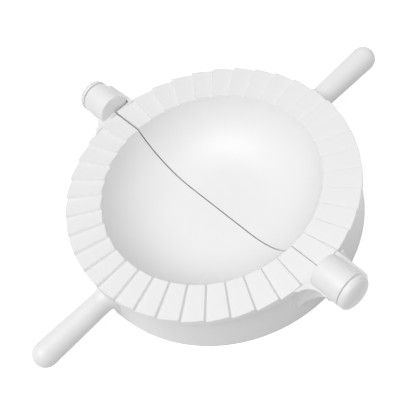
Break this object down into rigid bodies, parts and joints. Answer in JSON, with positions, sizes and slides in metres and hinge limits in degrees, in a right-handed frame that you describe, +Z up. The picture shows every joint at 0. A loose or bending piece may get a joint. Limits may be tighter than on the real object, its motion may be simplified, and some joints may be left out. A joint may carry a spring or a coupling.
{
  "type": "empanada press",
  "caption": "Hand press for filled dough: two hinged half bowls with a fluted crimping rim, each with a round handle, lying open and flat.",
  "frame": {"origin": "middle of the open press at the foot of its skirts, under the split between the halves", "axes": "+Z up out of the bowl; X along the hinge; +Y towards the handle of the folding half"},
  "size_m": [0.1564, 0.192, 0.0311],
  "materials": {
    "base_plastic": "white moulded polypropylene, fine satin surface",
    "folding_plastic": "white moulded polypropylene, fine satin surface",
    "pin_plastic": "white moulded polypropylene, smooth domed head"
  },
  "bodies": {
    "base": {"base_half": "base_plastic"},
    "folding": {"folding_half": "folding_plastic", "hinge_pin_right": "pin_plastic", "hinge_pin_left": "pin_plastic"}
  },
  "joints": [
    {"name": "rim_hinge", "type": "hinge", "parent": "base", "child": "folding", "pos_m": [0, 0, 0.0241], "axis": [1, 0, 0], "range_deg": [0, 180]}
  ]
}
